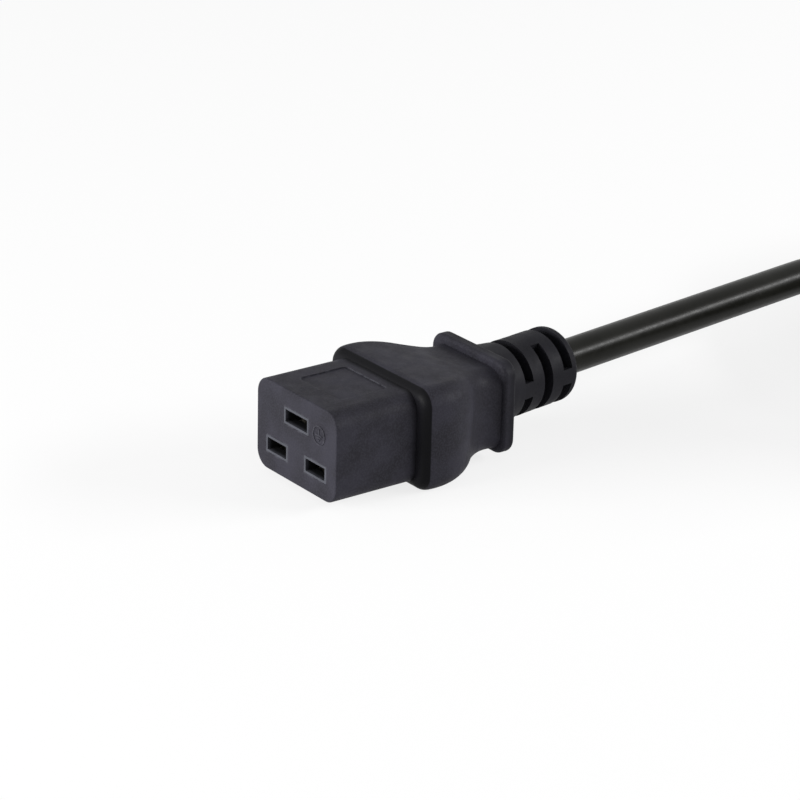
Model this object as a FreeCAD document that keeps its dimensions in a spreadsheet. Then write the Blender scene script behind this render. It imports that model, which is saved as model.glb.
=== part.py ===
import FreeCAD, Part
import math
import os
import Sketcher

# C19 power connector, moulded onto a three-core mains lead that ends in a C20 plug.
# Millimetres. The origin is the centre of the mating face, which looks along -Y. The cord
# leaves towards +Y, Z is up, and the hood rests on the floor, its own half-height below.

doc = FreeCAD.newDocument("c19_connector")
Vector = FreeCAD.Vector
UP = Vector(0, 0, 1)

# ---------------------------------------------------------------- driving dimensions
SIZES = [
    # nose: the block that goes into the inlet
    ("nose_width", 27.0), ("nose_height", 19.15), ("nose_corner", 3.55), ("nose_length", 19.3),
    ("nose_edge", 0.4), ("panel_width", 14.0), ("panel_length", 11.6), ("panel_depth", 0.25),
    ("panel_start", 5.3), ("panel_corner", 1.2),
    # hood: the hand grip behind the nose
    ("hood_half_height", 11.0), ("hood_half_width", 16.9), ("hood_widest", 24.0),
    ("bulge_radius", 13.5), ("scoop_radius", 8.0), ("waist_half_width", 10.7),
    ("hood_highest", 21.0), ("crown_radius", 70.0), ("dip_radius", 29.0), ("waist_half_height", 8.75),
    ("hood_corner", 3.9), ("rim_round", 2.6),
    # wing: the flange behind the grip
    ("wing_front", 42.2), ("wing_thick", 3.1), ("wing_half_width", 12.2), ("wing_half_height", 9.95),
    ("wing_rise", 0.55), ("wing_corner", 3.3), ("wing_edge", 0.9), ("wing_overlap", 0.5),
    # strain relief
    ("relief_rise", 1.1), ("relief_turn", 7.5), ("relief_root", 8.8), ("relief_neck", 8.15),
    ("relief_radius", 8.0), ("relief_length", 21.4), ("relief_end_round", 1.3),
    ("slot_floor", 5.0), ("slot_width", 2.5), ("slot_first", 6.6), ("slot_pitch", 5.75),
    ("slot_arc_upright", 156.0), ("slot_arc_side", 130.0),
    # contacts and the openings for the blades
    ("blade_pitch", 13.0), ("blade_row", 4.0), ("blade_width", 6.0), ("blade_thick", 2.0),
    ("slot_high", 2.6), ("live_slot_wide", 6.4), ("earth_slot_wide", 7.3), ("lip_wall", 0.5),
    ("lip_length", 1.2), ("carrier_half_width", 11.7), ("carrier_half_height", 7.8),
    ("carrier_length", 24.0), ("carrier_corner", 2.0), ("pocket_wide", 7.4), ("pocket_high", 5.4),
    ("pocket_wall", 1.2), ("leaf_thick", 0.5), ("leaf_tip_gap", 0.4), ("leaf_flare", 0.65),
    ("leaf_length", 12.0), ("leaf_pinch", 1.9), ("contact_base", 2.0), ("crimp_length", 6.4),
    ("crimp_wall", 0.5),
    # cores, their insulation and the sheath
    ("core_radius", 1.0), ("insulation_radius", 1.6), ("bundle_radius", 2.0),
    ("cord_diameter", 7.6), ("sheath_inside", 4.4), ("strip_length", 0.6), ("wire_straight", 3.6),
    # inner mould over the crimps
    ("inner_half_width", 9.3), ("inner_half_height", 6.8), ("inner_corner", 2.5), ("inner_recess", 5.1),
    # running clearance between moulded pieces
    ("fit_gap", 0.05),
    # far plug
    ("plug_half_width", 16.7), ("plug_half_height", 12.8), ("plug_corner", 5.0), ("plug_straight", 36.0),
    ("plug_grip_end", 52.0), ("plug_grip_half_width", 10.6), ("plug_grip_half_height", 9.6),
    ("plug_edge", 0.8), ("recess_half_width", 13.95), ("recess_half_height", 10.0),
    ("recess_corner", 3.9), ("recess_depth", 18.0), ("pin_setback", 1.5), ("pin_tip", 0.6),
    ("pin_seat", 4.0),
    # put-away coil and its tie
    ("coil_x", 30.0), ("coil_y", 190.0), ("coil_radius", 40.0), ("coil_turns_wide", 3),
    ("coil_turns_high", 2), ("coil_corner", 2.0), ("tie_width", 12.0), ("tie_thick", 1.0),
    # the lead's own route
    ("cord_bend", 62.5), ("coil_entry", 17.0), ("tail_ahead", 8.0), ("tail_half_run", 23.8),
]
sheet = doc.addObject("Spreadsheet::Sheet", "size")
for line, (alias, value) in enumerate(SIZES, start=1):
    sheet.set("A%d" % line, alias)
    sheet.set("B%d" % line, str(value))
    sheet.setAlias("B%d" % line, alias)
doc.recompute()


def val(expression):
    """The value of an expression of the sheet's names."""
    return float(sheet.evalExpression(expression))


def bind(thing, **expressions):
    """Bind properties to expressions; __ in a name stands for a dot."""
    for name, expression in expressions.items():
        thing.setExpression(name.replace("__", "."), expression)
    return thing


# ---------------------------------------------------------------- sketch helpers
def origin_feature(body, role):
    return next(part for part in body.Origin.OriginFeatures if part.Role == role)


def new_body(name):
    return doc.addObject("PartDesign::Body", name)


def front_sketch(body, name, y="0", z="0"):
    """An empty sketch across the cord's direction, at depth y, centred at height z."""
    sketch = body.newObject("Sketcher::SketchObject", name)
    sketch.AttachmentSupport = [(origin_feature(body, "XZ_Plane"), "")]
    sketch.MapMode = "FlatFace"
    return bind(sketch, AttachmentOffset__Base__z="-(%s)" % y, AttachmentOffset__Base__y=z)


def dimension(sketch, kind, what, expression):
    """A dimension whose value is an expression of the sheet."""
    index = sketch.addConstraint(Sketcher.Constraint(kind, *what, val(expression)))
    sketch.setExpression("Constraints[%d]" % index, expression)


def offset(sketch, kind, edge, end, expression):
    """Place one point from the origin, along X or Y, on either side of it."""
    if val(expression) < 0:
        dimension(sketch, kind, (edge, end, -1, 1), "-(%s)" % expression)
    else:
        dimension(sketch, kind, (-1, 1, edge, end), expression)


def rounded_rectangle(sketch, half_width, half_height, corner):
    """Four lines and four tangent arcs about the sketch's origin."""
    w, h, r = val(half_width), val(half_height), val(corner)

    def line(x1, y1, x2, y2):
        return Part.LineSegment(Vector(x1, y1, 0), Vector(x2, y2, 0))

    def arc(x, y, start):
        circle = Part.Circle(Vector(x, y, 0), UP, r)
        return Part.ArcOfCircle(circle, math.radians(start), math.radians(start + 90))

    shapes = [line(-w + r, h, w - r, h), arc(w - r, h - r, 0),
              line(w, h - r, w, -h + r), arc(w - r, -h + r, 270),
              line(w - r, -h, -w + r, -h), arc(-w + r, -h + r, 180),
              line(-w, -h + r, -w, h - r), arc(-w + r, h - r, 90)]
    sketch.addGeometry(shapes, False)
    rule = Sketcher.Constraint
    for straight in (0, 2, 4, 6):
        sketch.addConstraint(rule("Tangent", straight, 2, straight + 1, 2))
        sketch.addConstraint(rule("Tangent", straight + 1, 1, (straight + 2) % 8, 1))
    for straight in (0, 4):
        sketch.addConstraint(rule("Horizontal", straight))
        sketch.addConstraint(rule("Vertical", straight + 2))
    for first in (1, 3, 5):
        sketch.addConstraint(rule("Equal", first, first + 2))
    dimension(sketch, "Radius", (1,), corner)
    offset(sketch, "DistanceX", 2, 1, half_width)
    offset(sketch, "DistanceX", 6, 1, "-(%s)" % half_width)
    offset(sketch, "DistanceY", 0, 1, half_height)
    offset(sketch, "DistanceY", 4, 1, "-(%s)" % half_height)
    return sketch


def polygon(sketch, corners):
    """A closed outline whose every corner is placed by two expressions from the origin."""
    places = [Vector(val(x), val(y), 0) for x, y in corners]
    count = len(places)
    edges = [Part.LineSegment(places[i], places[(i + 1) % count]) for i in range(count)]
    sketch.addGeometry(edges, False)
    for i in range(count):
        sketch.addConstraint(Sketcher.Constraint("Coincident", i, 2, (i + 1) % count, 1))
    for i, (x, y) in enumerate(corners):
        offset(sketch, "DistanceX", i, 1, x)
        offset(sketch, "DistanceY", i, 1, y)
    return sketch


def pad(body, name, sketch, length, midplane=False):
    """Extrude a front sketch towards +Y, or any sketch both ways."""
    feature = body.newObject("PartDesign::Pad", name)
    feature.Profile = sketch
    feature.Midplane = midplane
    feature.Reversed = not midplane
    return bind(feature, Length=length)


def pocket(body, name, sketch, length):
    """Cut a front sketch from its plane towards +Y."""
    feature = body.newObject("PartDesign::Pocket", name)
    feature.Profile = sketch
    bind(feature, Length=length)
    return feature


def round_edges(body, name, radius, wanted):
    """Fillet those edges of the body's last feature that wanted() picks."""
    doc.recompute()
    base = body.Tip
    picked = ["Edge%d" % i for i, edge in enumerate(base.Shape.Edges, start=1) if wanted(edge)]
    feature = body.newObject("PartDesign::Fillet", name)
    feature.Base = (base, picked)
    return bind(feature, Radius=radius)


def spans(edge):
    box = edge.BoundBox
    return box.XLength, box.YLength, box.ZLength


def front_block(body, name, y, length, half_width, half_height, corner, z="0"):
    """A rounded block, extruded along the cord's direction."""
    outline = rounded_rectangle(front_sketch(body, name + "_outline", y, z),
                                half_width, half_height, corner)
    return pad(body, name, outline, length)


def front_hole(body, name, y, length, half_width, half_height, corner, z="0"):
    outline = rounded_rectangle(front_sketch(body, name + "_outline", y, z),
                                half_width, half_height, corner)
    return pocket(body, name, outline, length)


def box(body, name, x, y, z, wide, long, high, cut=False):
    """A plain block centred at x and z that starts at y."""
    kind = "PartDesign::SubtractiveBox" if cut else "PartDesign::AdditiveBox"
    block = body.newObject(kind, name)
    bind(block, Length=wide, Width=long, Height=high)
    return bind(block, Placement__Base__x="(%s) - (%s) / 2" % (x, wide), Placement__Base__y=y,
                Placement__Base__z="(%s) - (%s) / 2" % (z, high))


def place(thing, x="0", y="0", z="0", turn="0"):
    """Put a finished piece where the expressions say, turned about the vertical."""
    thing.Placement = FreeCAD.Placement(Vector(0, 0, 0), FreeCAD.Rotation(UP, 1))
    bind(thing, Placement__Base__x=x, Placement__Base__y=y, Placement__Base__z=z)
    return bind(thing, Placement__Rotation__Angle="(%s) * 1 deg" % turn)


def combine(kind, name, base, *tools):
    """A boolean of document objects: Cut, Fuse or Common."""
    tool = tools[0]
    if len(tools) > 1:
        tool = doc.addObject("Part::MultiFuse", name + "_tools")
        tool.Shapes = list(tools)
    result = doc.addObject("Part::" + kind, name)
    result.Base = base
    result.Tool = tool
    return result


# ---------------------------------------------------------------- expressions in common use
FLOOR = "-size.hood_half_height"
COIL_HALF_WIDTH = "size.coil_turns_wide * size.cord_diameter / 2"
COIL_HALF_HEIGHT = "size.coil_turns_high * size.cord_diameter / 2"
WING_BACK = "size.wing_front + size.wing_thick"
CARRIER_BACK = "size.lip_length + size.carrier_length"
GRIP_BACK = "size.wing_front + size.wing_overlap"
POCKET_FRONT = "size.lip_length + size.pocket_wall"
CRIMP_START = POCKET_FRONT + " + size.leaf_tip_gap + size.leaf_length + size.contact_base"
CRIMP_OUTER = "size.core_radius + size.fit_gap + size.crimp_wall"
PLUG_CARRIER_BACK = "size.plug_grip_end - (%s) + (%s)" % (WING_BACK, CARRIER_BACK)


def arc_between(centre, first, last):
    """The short arc about a centre that joins two points, drawn anticlockwise."""
    angles = [math.atan2(point.y - centre.y, point.x - centre.x) for point in (first, last)]
    if (angles[1] - angles[0]) % (2 * math.pi) > math.pi:
        angles.reverse()
    circle = Part.Circle(centre, UP, centre.distanceToPoint(first))
    return Part.ArcOfCircle(circle, *angles)


# ---------------------------------------------------------------- the grip's hourglass outlines
def grip_outline(sketch, across, half, widest, bulge, waist, scoop, closing):
    """A bulge that runs tangent into a finger scoop, closed along a straight line.

    across says that the half-size runs along the sketch's first axis, not its second.
    """
    def at(level, depth):
        return Vector(level, depth, 0) if across else Vector(depth, level, 0)

    r1, r2 = val(bulge), val(scoop)
    level1, depth1 = val(half) - r1, val(widest)
    level2 = val(waist) + r2
    depth2 = depth1 + math.sqrt((r1 + r2) ** 2 - (level2 - level1) ** 2)
    front, back = val("size.nose_length"), val(GRIP_BACK)
    share = r1 / (r1 + r2)
    start = at(level1 + math.sqrt(r1 ** 2 - (front - depth1) ** 2), front)
    meet = at(level1 + (level2 - level1) * share, depth1 + (depth2 - depth1) * share)
    end = at(level2 - math.sqrt(r2 ** 2 - (back - depth2) ** 2), back)
    corner_back, corner_front = at(val(closing), back), at(val(closing), front)
    sketch.addGeometry([arc_between(at(level1, depth1), start, meet),
                        arc_between(at(level2, depth2), meet, end),
                        Part.LineSegment(end, corner_back),
                        Part.LineSegment(corner_back, corner_front),
                        Part.LineSegment(corner_front, start)], False)

    def end_at(edge, point):
        return 1 if sketch.Geometry[edge].StartPoint.distanceToPoint(point) < 1e-6 else 2

    rule = Sketcher.Constraint
    sketch.addConstraint(rule("Tangent", 0, end_at(0, meet), 1, end_at(1, meet)))
    sketch.addConstraint(rule("Coincident", 1, end_at(1, end), 2, 1))
    sketch.addConstraint(rule("Coincident", 2, 2, 3, 1))
    sketch.addConstraint(rule("Coincident", 3, 2, 4, 1))
    sketch.addConstraint(rule("Coincident", 4, 2, 0, end_at(0, start)))
    along, level = ("DistanceY", "DistanceX") if across else ("DistanceX", "DistanceY")
    for edge in (2, 4):
        sketch.addConstraint(rule("Horizontal" if across else "Vertical", edge))
    sketch.addConstraint(rule("Vertical" if across else "Horizontal", 3))
    offset(sketch, along, 3, 1, GRIP_BACK)
    offset(sketch, along, 3, 2, "size.nose_length")
    offset(sketch, level, 3, 1, closing)
    dimension(sketch, "Radius", (0,), bulge)
    dimension(sketch, "Radius", (1,), scoop)
    offset(sketch, along, 0, 3, widest)
    offset(sketch, level, 0, 3, "%s - %s" % (half, bulge))
    offset(sketch, level, 1, 3, "%s + %s" % (waist, scoop))
    return sketch


def plane_sketch(body, name, role):
    sketch = body.newObject("Sketcher::SketchObject", name)
    sketch.AttachmentSupport = [(origin_feature(body, role), "")]
    sketch.MapMode = "FlatFace"
    return sketch


def mirrored(body, name, feature, role):
    twin = body.newObject("PartDesign::Mirrored", name)
    twin.Originals = [feature]
    twin.MirrorPlane = (origin_feature(body, role), [""])
    body.Tip = twin
    return twin


# ---------------------------------------------------------------- overmould: nose, grip and wing
def grip(body):
    """The hourglass: padded from above, then trimmed by the side view, then rounded."""
    plan = grip_outline(plane_sketch(body, "grip_plan", "XY_Plane"), True, "size.hood_half_width",
                        "size.hood_widest", "size.bulge_radius", "size.waist_half_width",
                        "size.scoop_radius", "0")
    half = pad(body, "grip_half", plan, "2 * size.hood_half_height + 2", midplane=True)
    mirrored(body, "grip_both_halves", half, "YZ_Plane")
    trim = grip_outline(plane_sketch(body, "grip_side", "YZ_Plane"), False, "size.hood_half_height",
                        "size.hood_highest", "size.crown_radius", "size.waist_half_height",
                        "size.dip_radius", "size.hood_half_height + 2")
    top = body.newObject("PartDesign::Pocket", "grip_top_trim")
    top.Profile = trim
    top.Midplane = True
    bind(top, Length="2 * size.hood_half_width + 2")
    mirrored(body, "grip_trimmed", top, "XY_Plane")

    def long_edge(edge):
        wide, long, high = spans(edge)
        return long > 1 and high > 1e-3 and abs(edge.CenterOfMass.x) > 1

    round_edges(body, "grip_corners", "size.hood_corner", long_edge)
    front = val("size.nose_length")
    round_edges(body, "grip_rim", "size.rim_round",
                lambda edge: spans(edge)[1] < 1e-4 and abs(edge.CenterOfMass.y - front) < 1e-4)


def nose(body):
    """The plain block in front, with a shallow bare panel sunk in its top."""
    front_block(body, "nose", "0", "size.nose_length + size.rim_round", "size.nose_width / 2",
                "size.nose_height / 2", "size.nose_corner")
    round_edges(body, "nose_edge", "size.nose_edge",
                lambda edge: abs(edge.BoundBox.YMin) < 1e-4 and abs(edge.BoundBox.YMax) < 1e-4)
    panel = plane_sketch(body, "panel_outline", "XY_Plane")
    bind(panel, AttachmentOffset__Base__z="size.nose_height / 2 - size.panel_depth",
         AttachmentOffset__Base__y="size.panel_start + size.panel_length / 2")
    rounded_rectangle(panel, "size.panel_width / 2", "size.panel_length / 2", "size.panel_corner")
    sink = body.newObject("PartDesign::Pocket", "panel")
    sink.Profile = panel
    sink.Reversed = True
    bind(sink, Length="size.panel_depth * 2")


def wing(body):
    front_block(body, "wing", "size.wing_front", "size.wing_thick", "size.wing_half_width",
                "size.wing_half_height", "size.wing_corner", "size.wing_rise")
    round_edges(body, "wing_edges", "size.wing_edge", lambda edge: spans(edge)[1] < 1e-4)


def ring_slots(body, name, place_along, angle, role):
    """One row of flex slots: a pair, opposite each other, cut down to the tube's core."""
    half = "size.slot_width / 2"
    low, high = "%s - %s" % (place_along, half), "%s + %s" % (place_along, half)
    inner, outer = "size.slot_floor", "size.relief_root + 1"
    sketch = plane_sketch(body, name + "_profile", role)
    if role == "XY_Plane":
        corners = [(inner, low), (outer, low), (outer, high), (inner, high)]
    else:
        corners = [(low, inner), (high, inner), (high, outer), (low, outer)]
    polygon(sketch, corners)
    groove = body.newObject("PartDesign::Groove", name)
    groove.Profile = sketch
    groove.ReferenceAxis = (sketch, ["V_Axis" if role == "XY_Plane" else "H_Axis"])
    groove.Midplane = True
    bind(groove, Angle=angle)
    pair = body.newObject("PartDesign::PolarPattern", name + "_pair")
    pair.Originals = [groove]
    pair.Axis = (origin_feature(body, "Y_Axis"), [""])
    pair.Angle = 360
    pair.Occurrences = 2
    body.Tip = pair


def relief(name):
    """A flexible strain relief along +Y: a cone that becomes a tube with three rows of slots."""
    body = new_body(name)
    sketch = plane_sketch(body, name + "_profile", "XY_Plane")
    first_slot = "size.slot_first - size.slot_width / 2"
    polygon(sketch, [("0", "-size.wing_thick / 2"), ("size.relief_root", "-size.wing_thick / 2"),
                     ("size.relief_root", "0"), ("size.relief_neck", first_slot),
                     ("size.relief_radius", "size.slot_first + size.slot_width"),
                     ("size.relief_radius", "size.relief_length"), ("0", "size.relief_length")])
    turned = body.newObject("PartDesign::Revolution", name + "_turned")
    turned.Profile = sketch
    turned.ReferenceAxis = (sketch, ["V_Axis"])
    turned.Angle = 360
    end = val("size.relief_length")
    round_edges(body, name + "_end", "size.relief_end_round",
                lambda edge: edge.BoundBox.YMin > end - 1e-4)
    for row, (angle, role) in enumerate((("size.slot_arc_upright", "YZ_Plane"),
                                         ("size.slot_arc_side", "XY_Plane"),
                                         ("size.slot_arc_upright", "YZ_Plane"))):
        ring_slots(body, "%s_row_%d" % (name, row + 1),
                   "size.slot_first + %d * size.slot_pitch" % row, angle, role)
    return body


# ---------------------------------------------------------------- moulded insert and contacts
POLES = {"line": ("size.blade_pitch / 2", "-size.blade_row", "size.live_slot_wide"),
         "neutral": ("-size.blade_pitch / 2", "-size.blade_row", "size.live_slot_wide"),
         "earth": ("0", "size.blade_row", "size.earth_slot_wide")}
BUNDLE_ANGLE = {"line": -30, "neutral": 210, "earth": 90}
FACING = {"line": "neutral", "neutral": "line", "earth": "earth"}


def insert_outside(body, grow):
    """The insert's outer form: a rounded block with a rectangular lip round each opening."""
    front_block(body, "block", "size.lip_length - %s" % grow, "size.carrier_length + 2 * %s" % grow,
                "size.carrier_half_width + %s" % grow, "size.carrier_half_height + %s" % grow,
                "size.carrier_corner")
    for pole, (x, z, wide) in POLES.items():
        box(body, pole + "_lip", x, "-%s" % grow, z, "%s + 2 * size.lip_wall + 2 * %s" % (wide, grow),
            "size.lip_length + 1", "size.slot_high + 2 * size.lip_wall + 2 * %s" % grow)


def contact_carrier():
    body = new_body("contact_carrier")
    insert_outside(body, "0")
    for pole, (x, z, wide) in POLES.items():
        box(body, pole + "_mouth", x, "-1", z, wide, POCKET_FRONT + " + 2", "size.slot_high", cut=True)
        box(body, pole + "_pocket", x, POCKET_FRONT, z, "size.pocket_wide", "size.carrier_length",
            "size.pocket_high", cut=True)
    return body


def disc(body, name, y, length, radius, cut=False):
    """A round boss, or a round hole, along the cord's direction."""
    sketch = front_sketch(body, name + "_circle", y)
    sketch.addGeometry(Part.Circle(Vector(0, 0, 0), UP, val(radius)), False)
    sketch.addConstraint(Sketcher.Constraint("Coincident", 0, 3, -1, 1))
    dimension(sketch, "Radius", (0,), radius)
    return pocket(body, name, sketch, length) if cut else pad(body, name, sketch, length)


def crimp(body, start):
    """The barrel that is pressed round a core."""
    disc(body, "barrel", start, "size.crimp_length", CRIMP_OUTER)
    disc(body, "barrel_bore", start, "size.crimp_length", "size.core_radius + size.fit_gap", cut=True)


def spring_contact(pole):
    """A strip folded into two leaves that pinch a blade, with a crimp barrel behind."""
    body = new_body(pole + "_contact")
    outer = "size.pocket_high / 2 - size.fit_gap"
    inner = "%s - size.leaf_thick" % outer
    pinch = "size.leaf_pinch / 2"
    tip = POCKET_FRONT + " + size.leaf_tip_gap"
    waist, neck = tip + " + 2", tip + " + 3"
    root = tip + " + size.leaf_length"
    upper = [(tip, pinch + " + size.leaf_flare"), (waist, pinch), (neck, pinch), (root, inner)]
    crest = [(CRIMP_START, outer), ("%s - 1" % root, outer), (neck, pinch + " + size.leaf_thick"),
             (waist, pinch + " + size.leaf_thick"), (tip, pinch + " + size.leaf_flare + size.leaf_thick")]

    def below(corners):
        return [(y, "-(%s)" % z) for y, z in reversed(corners)]

    profile = polygon(plane_sketch(body, "leaf_profile", "YZ_Plane"),
                      upper + below(upper) + below(crest) + crest)
    pad(body, "leaves", profile, "size.blade_width + 0.4", midplane=True)
    box(body, "base", "0", root, "0", "size.pocket_wide - 2 * size.fit_gap", "size.contact_base",
        "2 * (%s)" % outer)
    crimp(body, CRIMP_START)
    return body


# ---------------------------------------------------------------- wires
def route(points):
    """Straight runs joined by tangent arcs, each as large as its two runs allow."""
    edges, radii, last = [], [], points[0]
    for before, corner, after in zip(points, points[1:], points[2:]):
        back, ahead = before - corner, after - corner
        trim = 0.45 * min(back.Length, ahead.Length)
        turn = math.pi - back.getAngle(ahead)
        radius = trim / math.tan(turn / 2)
        back.normalize()
        ahead.normalize()
        middle = back + ahead
        middle.normalize()
        centre = corner + middle * math.hypot(radius, trim)
        first, final = corner + back * trim, corner + ahead * trim
        edges += [Part.LineSegment(last, first).toShape(),
                  Part.Arc(first, centre - middle * radius, final).toShape()]
        radii.append(radius)
        last = final
    edges.append(Part.LineSegment(last, points[-1]).toShape())
    return edges, radii


def tube(name, edges, radius):
    """A round solid swept along a path."""
    spine = doc.addObject("Part::Feature", name + "_path")
    spine.Shape = Part.Wire(edges)
    circle = doc.addObject("Part::Circle", name + "_section")
    bind(circle, Radius=radius)
    start = edges[0].valueAt(edges[0].FirstParameter)
    heading = edges[0].tangentAt(edges[0].FirstParameter)
    circle.Placement = FreeCAD.Placement(start, FreeCAD.Rotation(UP, heading))
    sweep = doc.addObject("Part::Sweep", name)
    sweep.Sections = [circle]
    sweep.Spine = (spine, ["Edge%d" % (i + 1) for i in range(len(edges))])
    sweep.Solid = True
    sweep.Frenet = False
    return sweep


def on_axis(back, rise, turn, along):
    """A point on the strain relief's axis, measured from its root, and the axis's heading."""
    angle = math.radians(val(turn))
    heading = Vector(-math.sin(angle), math.cos(angle), 0)
    return Vector(0, val(back), val(rise)) + heading * val(along), heading


def wire_path(spot, front, back, rise, turn):
    """From a crimp to the wire's place in the bundle at the sheath's cut end."""
    x, z, _ = POLES[spot]
    end, heading = on_axis(back, rise, turn, "-size.sheath_inside")
    angle = math.radians(BUNDLE_ANGLE[spot])
    aside = Vector(heading.y, -heading.x, 0) * math.cos(angle) + UP * math.sin(angle)
    end = end + aside * val("size.bundle_radius")
    straight = val("size.wire_straight")
    start = Vector(val(x), val(front) - val("size.strip_length"), val(z))
    return [start, start + Vector(0, straight, 0), end - heading * straight, end]


def wires(prefix, spots, crimp_start, front, back, rise, turn, where):
    """Core, insulation and the clearance round it, for each pole of one end."""
    clearances = []
    for pole, spot in spots.items():
        name = prefix + pole
        points = wire_path(spot, front, back, rise, turn)
        edges, _ = route(points)
        bare = Vector(points[0].x, val(crimp_start) + val("size.strip_length"), points[0].z)
        core = tube(name + "_core", [Part.LineSegment(bare, points[0]).toShape()] + edges,
                    "size.core_radius")
        skin = tube(name + "_insulation_outside", edges, "size.insulation_radius")
        bore = tube(name + "_insulation_bore", edges, "size.core_radius + size.fit_gap")
        insulation = combine("Cut", name + "_insulation", skin, bore)
        clearances.append(tube(name + "_clearance", edges, "size.insulation_radius + size.fit_gap"))
        for piece in (core, insulation):
            place(piece, *where)
            finished.append(piece)
    return clearances


def inner_mould(name, front, back, clearances, where):
    """The hard inner mould that locks the crimps and wires before the outer moulding."""
    block = new_body(name + "_block")
    front_block(block, "block", "%s + size.fit_gap" % front,
                "%s - size.inner_recess - (%s) - size.fit_gap" % (back, front),
                "size.inner_half_width", "size.inner_half_height", "size.inner_corner")
    mould = combine("Cut", name, block, *clearances)
    place(mould, *where)
    finished.append(mould)
    return mould


def inner_space(name, front, back, rise, turn):
    """What the outer moulding leaves free behind its insert: the inner mould and the sheath."""
    room = new_body(name + "_room")
    front_block(room, "room", "%s - 0.5" % front,
                "%s - size.inner_recess + size.fit_gap - (%s) + 0.5" % (back, front),
                "size.inner_half_width + size.fit_gap", "size.inner_half_height + size.fit_gap",
                "size.inner_corner + size.fit_gap")
    bore = new_body(name + "_bore")
    disc(bore, "bore", "-size.inner_recess - 0.5", "size.inner_recess + size.relief_length + 1.5",
         "size.cord_diameter / 2 + size.fit_gap")
    place(bore, y=back, z=rise, turn=turn)
    return [room, bore]


# ---------------------------------------------------------------- the connector
finished = []
HERE = ("0", "0", "0")


def connector():
    hood = new_body("hood")
    grip(hood)
    nose(hood)
    flange = new_body("flange")
    wing(flange)
    boot = relief("relief")
    place(boot, y=WING_BACK, z="size.relief_rise", turn="size.relief_turn")
    solid = combine("Fuse", "moulding", hood, flange, boot)
    seat = new_body("insert_seat")
    insert_outside(seat, "size.fit_gap")
    space = inner_space("connector", CARRIER_BACK, WING_BACK, "size.relief_rise", "size.relief_turn")
    overmould = combine("Cut", "overmould", solid, seat, *space)
    finished.append(place(overmould, *HERE))
    finished.append(place(contact_carrier(), *HERE))
    for pole, (x, z, _) in POLES.items():
        finished.append(place(spring_contact(pole), x, "0", z))
    clearances = wires("", dict(zip(POLES, POLES)), CRIMP_START, CARRIER_BACK, WING_BACK,
                       "size.relief_rise", "size.relief_turn", HERE)
    inner_mould("inner_mould", CARRIER_BACK, WING_BACK, clearances, HERE)


# ---------------------------------------------------------------- the far plug
PLUG_ASIDE = "size.coil_radius + %s - size.plug_half_width" % COIL_HALF_WIDTH
PLUG_X = "size.coil_x + " + PLUG_ASIDE
PLUG_SHEATH = "size.coil_y + size.tail_ahead - size.tail_half_run"
PLUG_Y = PLUG_SHEATH + " + size.sheath_inside - size.plug_grip_end"
PLUG_Z = "%s + size.tie_thick + 2 * %s + size.fit_gap + size.plug_half_height" % (FLOOR, COIL_HALF_HEIGHT)
PLUG_HERE = (PLUG_X, PLUG_Y, PLUG_Z)
PIN_COLLAR = "size.recess_depth + size.pin_seat"
PLUG_CRIMP = "%s - (%s) + (%s)" % (PLUG_CARRIER_BACK, CARRIER_BACK, CRIMP_START)


def plug_shell():
    """A straight shroud that narrows to the cord, with the deep recess in its front."""
    body = new_body("plug_shell")
    front_block(body, "shroud", "0", "size.plug_straight", "size.plug_half_width",
                "size.plug_half_height", "size.plug_corner")
    round_edges(body, "shroud_edge", "size.plug_edge", lambda edge: edge.BoundBox.YMax < 1e-4)
    wide = rounded_rectangle(front_sketch(body, "taper_front", "size.plug_straight"),
                             "size.plug_half_width", "size.plug_half_height", "size.plug_corner")
    slim = rounded_rectangle(front_sketch(body, "taper_back", "size.plug_grip_end"),
                             "size.plug_grip_half_width", "size.plug_grip_half_height",
                             "size.plug_corner")
    taper = body.newObject("PartDesign::AdditiveLoft", "taper")
    taper.Profile = wide
    taper.Sections = [slim]
    end = val("size.plug_grip_end")
    round_edges(body, "taper_edge", "size.plug_edge", lambda edge: edge.BoundBox.YMin > end - 1e-4)
    front_hole(body, "recess", "0", "size.recess_depth", "size.recess_half_width",
               "size.recess_half_height", "size.recess_corner")
    return body


def plug_carrier():
    """The insert whose front wall is the recess's floor and holds the pins."""
    body = new_body("plug_carrier")
    front_block(body, "block", "size.recess_depth", "%s - size.recess_depth" % PLUG_CARRIER_BACK,
                "size.carrier_half_width", "size.carrier_half_height", "size.carrier_corner")
    for spot, (x, z, _) in POLES.items():
        box(body, spot + "_slit", x, "size.recess_depth - 1", z, "size.blade_width + 2 * size.fit_gap",
            "size.pin_seat + 2", "size.blade_thick + 2 * size.fit_gap", cut=True)
        box(body, spot + "_pocket", x, PIN_COLLAR, z, "size.pocket_wide", "size.carrier_length",
            "size.pocket_high", cut=True)
    return body


def pin(pole):
    """A flat blade with a rounded tip, a collar that seats in the insert, and a crimp barrel."""
    body = new_body("plug_%s_pin" % pole)
    box(body, "blade", "0", "size.pin_setback", "0", "size.blade_width",
        "%s - size.pin_setback" % PIN_COLLAR, "size.blade_thick")
    tip = val("size.pin_setback")
    round_edges(body, "tip", "size.pin_tip", lambda edge: edge.BoundBox.YMax < tip + 1e-4)
    box(body, "collar", "0", PIN_COLLAR, "0", "size.pocket_wide - 2 * size.fit_gap",
        "%s - (%s)" % (PLUG_CRIMP, PIN_COLLAR), "size.pocket_high - 2 * size.fit_gap")
    crimp(body, PLUG_CRIMP)
    return body


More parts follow.
